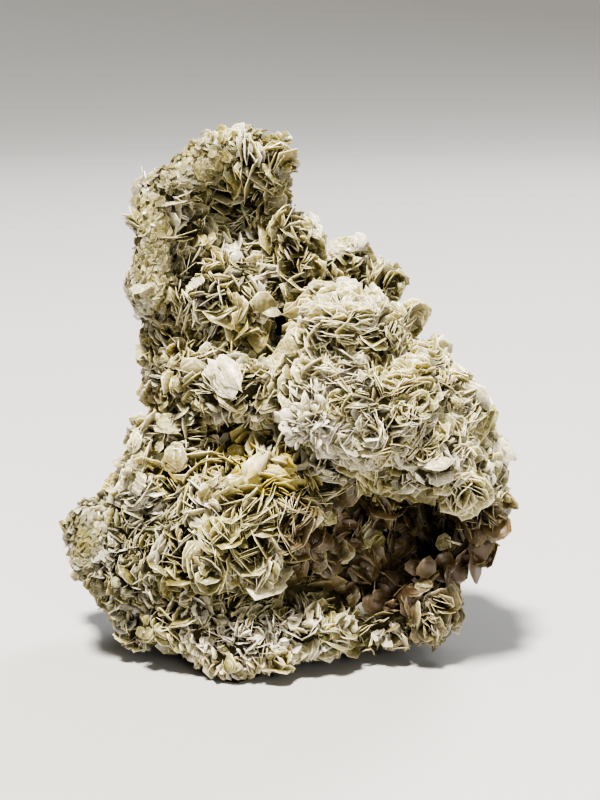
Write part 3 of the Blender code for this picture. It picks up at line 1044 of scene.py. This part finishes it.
# Plates that stand out in the photograph: column and row in its pixels, radius in mm, how far the face
# turns to the right and upward from the camera and how far its long way leans to the left in degrees,
# its kind, and the tint (tone, yellow, painted warm shade, silver with painted sheen).
NAMED_PLATES = {
    "broad white plate": (226, 378, 5.4, -10, 15, 35, "ridged", (0.85, 0, 0, 0.25)),
    "left of it": (268, 372, 2.8, 5, 30, -20, "round", (0.45, 0.15, 0, 0)),
    "body's top left, pale": (170, 424, 3.8, -10, 55, 80, "ridged", (0.6, 0.05, 0, 0.05)),
    "body's top left, lower": (140, 460, 2.6, -35, 30, 40, "round", (0.6, 0.05, 0, 0.1)),
    "right of the tower, low": (325, 222, 2.6, 30, 0, -10, "round", (0.32, 0.15, 0, 0)),
    "right of the tower, high": (314, 206, 1.6, 35, 0, -30, "round", (0.32, 0.15, 0, 0)),
    "right rim, white": (500, 452, 3.2, 35, 10, 20, "ridged", (0.8, 0, 0, 0.3)),
    "dome's lower right, long": (436, 462, 3.4, 0, 45, -60, "ridged", (0.7, 0, 0, 0.15)),
    "in the hollow, upper": (407, 520, 3.7, 10, -5, 40, "round", (0.34, 0, 0.5, 0)),
    "in the hollow, beside it": (424, 512, 2.6, 40, 5, 0, "round", (0.25, 0, 0.6, 0)),
    "in the hollow, top": (345, 492, 3.2, -10, -10, 0, "round", (0.2, 0, 0.75, 0)),
    "in the hollow, left": (342, 551, 2.9, -25, 20, 40, "round", (0.5, 0, 0.35, 0)),
    "in the hollow, left end": (318, 560, 2.6, -35, 0, -30, "round", (0.3, 0, 0.5, 0)),
    "in the hollow, low": (393, 561, 2.0, 0, 50, 70, "round", (0.35, 0, 0.6, 0.1)),
    "lobe's edge": (413, 612, 3.4, -55, 5, 8, "ridged", (0.42, 0, 0.5, 0)),
    "lobe's top": (424, 583, 2.2, 10, 50, 70, "round", (0.5, 0, 0.45, 0)),
    "tower's white spot": (196, 284, 1.6, -10, 40, 30, "ridged", (0.75, 0, 0, 0.3)),
    "tower's left, white": (142, 288, 2.8, -30, 45, -50, "ridged", (0.65, 0, 0, 0.2)),
    "body's top left, tan": (177, 458, 3.2, -10, 15, 20, "round", (0.5, 0.2, 0.3, 0)),
    "left edge, white": (140, 482, 2.2, -35, 25, 60, "ridged", (0.7, 0, 0, 0.2)),
    "dome's middle": (392, 378, 2.8, 5, 50, 70, "ridged", (0.5, 0, 0, 0.05)),
    "under the tower": (272, 297, 2.8, 5, 50, 80, "ridged", (0.5, 0, 0, 0.05)),
}
NAMED_RISE = 2.0 * MM

# Rosettes that stand out: column, row, size beside the others', petals and the tint.
NAMED_ROSETTES = {
    "dome's upper left": (308, 346, 1.4, 30, (0.45, 0.05, 0, 0)),
    "dome's right": (448, 426, 1.2, 24, (0.5, 0.1, 0, 0)),
    "right rim, yellow": (488, 408, 1.2, 24, (0.5, 0.4, 0, 0)),
    "right, low": (464, 492, 1.4, 32, (0.62, 0.05, 0, 0.05)),
    "right, white": (464, 456, 1.1, 26, (0.65, 0, 0, 0.1)),
    "body's top left": (150, 440, 1.2, 18, (0.6, 0.05, 0, 0.05)),
    "lobe": (438, 606, 1.15, 16, (0.45, 0, 0.5, 0)),
    "lobe, low": (434, 636, 1.1, 18, (0.45, 0, 0.4, 0)),
}
SHEET_KINDS = {  # sheets in a book, their width to length, how angular they are, slip and gap in mm
    "ridged": (10, (0.3, 0.5), (1.0, 1.8), 0.36, 0.13),
    "round": (4, (0.7, 0.95), (0.1, 0.6), 0.16, 0.12),
}
WHITE_BALL = (312, 424)  # its pixel
WHITE_BALL_RADIUS, WHITE_BALL_DEPTH, WHITE_BALL_PLATES = 5.0 * MM, 1.8 * MM, 420


def named_plates(skin):
    """Each plate seen in the photograph, as a book of sheets that have slipped sideways on one another."""
    rows = []
    for column, row, radius, right, upward, lean, kind, tint in NAMED_PLATES.values():
        sheets, aspect, hexagon, slip, gap = SHEET_KINDS[kind]
        place, _ = skin.seen_at((column, row))
        right, upward, lean = math.radians(right), math.radians(upward), math.radians(lean)
        level = -AHEAD * math.cos(right) + RIGHT * math.sin(right)
        facing = level * math.cos(upward) + np.array((0, 0, math.sin(upward)))
        upright = unit(np.array((0.0, 0.0, 1.0)) - facing * facing[2])
        side = np.cross(upright, facing)
        long_way = upright * math.cos(lean) - side * math.sin(lean)
        short_way = upright * math.sin(lean) + side * math.cos(lean)
        step = np.arange(sheets) - sheets / 2
        size = radius * MM * dice.uniform(0.75, 1.0, sheets)
        base = place - AHEAD * NAMED_RISE + long_way * (dice.normal(0, 0.1, sheets) * size)[:, None]
        base += facing * (step * gap * MM)[:, None] + short_way * (step * slip * MM)[:, None]
        up = long_way + dice.normal(0, 0.05, (sheets, 3))
        normal = facing + short_way * dice.normal(0, 0.2, (sheets, 1))
        book = plates_from(base, up, normal, size, size, 0.1 * MM, 0.5, aspect, hexagon, 0.03)
        book["bend"] *= 0.3
        book["tint"] = tint
        book["tint"][:, 0] -= dice.uniform(0, 0.25, sheets)
        rows.append(book)
    return np.concatenate(rows)


def white_ball(skin):
    """The grey-white ball of small plates that stand out of it every way, half sunk in the dome."""
    place, _ = skin.seen_at(WHITE_BALL)
    out = unit(dice.normal(size=(WHITE_BALL_PLATES, 3)))
    out = out[out @ AHEAD < 0.3]  # the plates that grow into the dome are left out
    facing, _ = across(out)
    heart = place + AHEAD * WHITE_BALL_DEPTH + dice.normal(0, 0.9 * MM, out.shape)
    radius = mm_between(0.8, 1.8, out)
    reach = WHITE_BALL_RADIUS * dice.uniform(0.6, 1.1, len(out))
    reach *= 1 + 0.4 * rough_noise(out, 0.9, 5.0)
    thickness = mm_between(0.05, 0.1, out)
    up = leaned(out, 0.35)
    rows = plates_from(heart, up, facing, radius, reach, thickness, 0.5, (0.5, 1.1), (0.4, 1.0), 0.1)
    rows["tint"] = (0.75, 0, 0, 0.45)
    rows["tint"][:, 0] -= dice.uniform(0, 0.5, len(out))
    return rows


def named_rosettes(skin):
    """Each rosette seen in the photograph, turned a little towards the camera."""
    rows = []
    for column, row, scale, number, tint in NAMED_ROSETTES.values():
        place, normal = skin.seen_at((column, row))
        toward = unit(normal - AHEAD * 0.8)
        petals, _ = roses(place[None], toward[None], scale, (number, number))
        petals["tint"] = tint
        petals["tint"][:, 0] -= dice.uniform(0, 0.3, number)
        rows.append(petals)
    return np.concatenate(rows)


def fits_box(rows):
    """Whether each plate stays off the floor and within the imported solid's box, give or take."""
    radius = rows["radius"] * np.maximum(1, 0.9 * rows["aspect"])
    half_box = np.sqrt(np.maximum(0, 1 - rows["normal"] ** 2)) * radius[:, None]
    low, high = np.array(CAD_BOX) + BOX_SLACK
    return ((rows["centre"] - half_box > low) & (rows["centre"] + half_box < high)).all(axis=1)


def rooted(rows, skin):
    """Whether each plate's foot is in the body or near it, so that none floats in the air."""
    feet = rows["centre"] - rows["up"] * rows["radius"][:, None] * 0.6
    away = np.array([skin.tree.find_nearest(Vector(foot))[3] for foot in feet])
    return away < ROOT_REACH


def add_plates(skin, material):
    """Every layer of plates, each in up to three meshes from front to back."""
    layers = grow_clusters(skin) | {"tufts": grow_tufts(skin), "flakes": grow_flakes(skin)}
    layers["petals"] = np.concatenate([layers["petals"], named_rosettes(skin)])
    sheets = named_plates(skin)
    layers = {layer: rows[rooted(rows, skin)] for layer, rows in layers.items()}
    layers["petals"] = np.concatenate([layers["petals"], white_ball(skin)])
    layers["sheets"] = sheets
    made = []
    for layer, rows in layers.items():
        rows = rows[fits_box(rows)]
        for slab, (low, high) in SLABS.items():
            inside = (rows["centre"][:, 1] > low) & (rows["centre"][:, 1] <= high)
            if inside.any():
                mesh = plate_mesh(f"mica_{layer}_{slab}", rows[inside], *CORNERS[layer])
                mesh.materials.append(material)
                made.append(link(bpy.data.objects.new(mesh.name, mesh)))
    return made


add_camera()
add_stage()
for lamp, settings in LIGHTS.items():
    add_light(lamp, *settings)
root = add_root()
root.data.materials.clear()
root.data.materials.append(root_material())
skin = shaped_ground(root)
for piece in [root] + add_plates(skin, mica_material()):
    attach(piece, "root")
    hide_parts(NODE)
